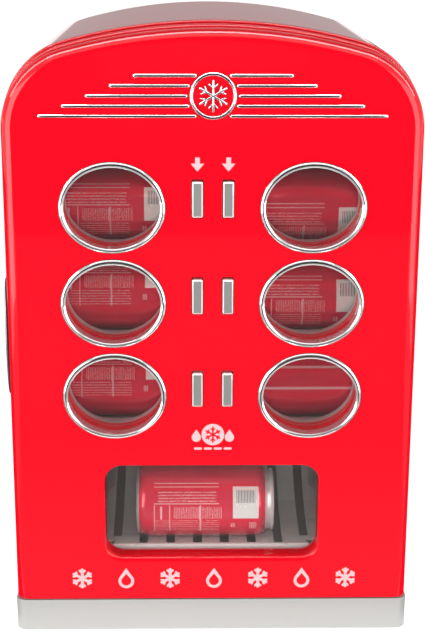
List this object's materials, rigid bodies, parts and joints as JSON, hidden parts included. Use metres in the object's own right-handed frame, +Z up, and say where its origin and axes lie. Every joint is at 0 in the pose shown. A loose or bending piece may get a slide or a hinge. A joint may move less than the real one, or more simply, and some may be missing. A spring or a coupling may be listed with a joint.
{
  "type": "soda can vending machine",
  "caption": "Counter-top retro can vending machine: arched insulated cabinet, hinged door with oval windows, push buttons, tilting can shelves and a delivery flap.",
  "frame": {"origin": "centre of the overall box, at the surface the feet stand on", "axes": "+Z up; -Y is the door side that faces the user; +X to the right, towards the door hinge"},
  "size_m": [0.345, 0.32, 0.525],
  "materials": {
    "red_enamel": "glossy bright red enamel",
    "grey_plastic": "satin light grey moulded plastic",
    "silver_paint": "fine metallic silver paint",
    "chrome": "polished chrome plating",
    "clear_plastic": "clear, faintly grey acrylic",
    "aluminium": "satin extruded aluminium",
    "steel": "zinc-plated steel",
    "foam": "rigid cream insulation foam",
    "rubber": "matt black rubber",
    "black_plastic": "fine-textured black plastic",
    "ceramic": "white ceramic plates",
    "can_red": "printed red drinks can with bare metal ends"
  },
  "bodies": {
    "cabinet": {"cabinet_shell": "red_enamel", "cabinet_insulation": "foam", "cabinet_liner": "grey_plastic", "rear_cover": "black_plastic", "base_skirt": "silver_paint", "base_pan": "black_plastic", "foot_front_left": "rubber", "foot_front_right": "rubber", "foot_rear_left": "rubber", "foot_rear_right": "rubber", "fan_frame": "black_plastic", "heat_sink": "aluminium", "thermoelectric_module": "ceramic", "cold_plate": "aluminium", "power_inlet": "black_plastic", "can_rack": "grey_plastic", "delivery_chute": "grey_plastic", "hinge_bracket_top": "steel", "hinge_bracket_bottom": "steel", "can_delivered": "can_red"},
    "door": {"door_shell": "red_enamel", "door_liner": "grey_plastic", "door_foam": "foam", "door_gasket": "rubber", "badge": "chrome", "door_handle": "chrome", "window_bezel_left_top": "chrome", "window_bezel_left_middle": "chrome", "window_bezel_left_bottom": "chrome", "window_bezel_right_top": "chrome", "window_bezel_right_middle": "chrome", "window_bezel_right_bottom": "chrome", "window_lens_left_top": "clear_plastic", "window_lens_left_middle": "clear_plastic", "window_lens_left_bottom": "clear_plastic", "window_lens_right_top": "clear_plastic", "window_lens_right_middle": "clear_plastic", "window_lens_right_bottom": "clear_plastic"},
    "flap": {"delivery_flap": "clear_plastic"},
    "fan": {"fan_rotor": "black_plastic"},
    "mode_rocker": {"mode_switch": "rubber"},
    "button_left_top": {"button_left_top": "chrome"},
    "shelf_left_top": {"tilt_shelf_left_top": "grey_plastic", "can_left_top": "can_red"},
    "button_left_middle": {"button_left_middle": "chrome"},
    "shelf_left_middle": {"tilt_shelf_left_middle": "grey_plastic", "can_left_middle": "can_red"},
    "button_left_bottom": {"button_left_bottom": "chrome"},
    "shelf_left_bottom": {"tilt_shelf_left_bottom": "grey_plastic", "can_left_bottom": "can_red"},
    "button_right_top": {"button_right_top": "chrome"},
    "shelf_right_top": {"tilt_shelf_right_top": "grey_plastic", "can_right_top": "can_red"},
    "button_right_middle": {"button_right_middle": "chrome"},
    "shelf_right_middle": {"tilt_shelf_right_middle": "grey_plastic", "can_right_middle": "can_red"},
    "button_right_bottom": {"button_right_bottom": "chrome"},
    "shelf_right_bottom": {"tilt_shelf_right_bottom": "grey_plastic", "can_right_bottom": "can_red"}
  },
  "joints": [
    {"name": "door_swing", "type": "hinge", "parent": "cabinet", "child": "door", "pos_m": [0.166, -0.12, 0.25], "axis": [0, 0, 1], "range_deg": [0, 95]},
    {"name": "flap_swing", "type": "hinge", "parent": "door", "child": "flap", "pos_m": [0, -0.14175, 0.1515], "axis": [-1, 0, 0], "range_deg": [0, 80]},
    {"name": "fan_spin", "type": "hinge", "parent": "cabinet", "child": "fan", "pos_m": [0, 0.145, 0.33], "axis": [0, 1, 0], "continuous": true},
    {"name": "mode_rock", "type": "hinge", "parent": "cabinet", "child": "mode_rocker", "pos_m": [0.131, 0.155, 0.075], "axis": [1, 0, 0], "range_deg": [-8, 8]},
    {"name": "shelf_left_top_tilt", "type": "hinge", "parent": "cabinet", "child": "shelf_left_top", "pos_m": [0, -0.05, 0.3308], "axis": [-1, 0, 0], "range_deg": [0, 4.1]},
    {"name": "button_left_top_press", "type": "slide", "parent": "door", "child": "button_left_top", "axis": [0, 1, 0], "range_m": [0, 0.004], "stiffness_N_per_m": 250},
    {"name": "shelf_left_middle_tilt", "type": "hinge", "parent": "cabinet", "child": "shelf_left_middle", "pos_m": [0, -0.05, 0.2506], "axis": [-1, 0, 0], "range_deg": [0, 4.1]},
    {"name": "button_left_middle_press", "type": "slide", "parent": "door", "child": "button_left_middle", "axis": [0, 1, 0], "range_m": [0, 0.004], "stiffness_N_per_m": 250},
    {"name": "shelf_left_bottom_tilt", "type": "hinge", "parent": "cabinet", "child": "shelf_left_bottom", "pos_m": [0, -0.05, 0.1704], "axis": [-1, 0, 0], "range_deg": [0, 4.1]},
    {"name": "button_left_bottom_press", "type": "slide", "parent": "door", "child": "button_left_bottom", "axis": [0, 1, 0], "range_m": [0, 0.004], "stiffness_N_per_m": 250},
    {"name": "shelf_right_top_tilt", "type": "hinge", "parent": "cabinet", "child": "shelf_right_top", "pos_m": [0, -0.05, 0.3308], "axis": [-1, 0, 0], "range_deg": [0, 4.1]},
    {"name": "button_right_top_press", "type": "slide", "parent": "door", "child": "button_right_top", "axis": [0, 1, 0], "range_m": [0, 0.004], "stiffness_N_per_m": 250},
    {"name": "shelf_right_middle_tilt", "type": "hinge", "parent": "cabinet", "child": "shelf_right_middle", "pos_m": [0, -0.05, 0.2506], "axis": [-1, 0, 0], "range_deg": [0, 4.1]},
    {"name": "button_right_middle_press", "type": "slide", "parent": "door", "child": "button_right_middle", "axis": [0, 1, 0], "range_m": [0, 0.004], "stiffness_N_per_m": 250},
    {"name": "shelf_right_bottom_tilt", "type": "hinge", "parent": "cabinet", "child": "shelf_right_bottom", "pos_m": [0, -0.05, 0.1704], "axis": [-1, 0, 0], "range_deg": [0, 4.1]},
    {"name": "button_right_bottom_press", "type": "slide", "parent": "door", "child": "button_right_bottom", "axis": [0, 1, 0], "range_m": [0, 0.004], "stiffness_N_per_m": 250}
  ],
  "couplings": [
    {"joint": "button_left_top_press", "follows": "shelf_left_top_tilt", "m_per_rad": 0.0553},
    {"joint": "button_left_middle_press", "follows": "shelf_left_middle_tilt", "m_per_rad": 0.0546},
    {"joint": "button_left_bottom_press", "follows": "shelf_left_bottom_tilt", "m_per_rad": 0.0543},
    {"joint": "button_right_top_press", "follows": "shelf_right_top_tilt", "m_per_rad": 0.0553},
    {"joint": "button_right_middle_press", "follows": "shelf_right_middle_tilt", "m_per_rad": 0.0546},
    {"joint": "button_right_bottom_press", "follows": "shelf_right_bottom_tilt", "m_per_rad": 0.0543}
  ]
}
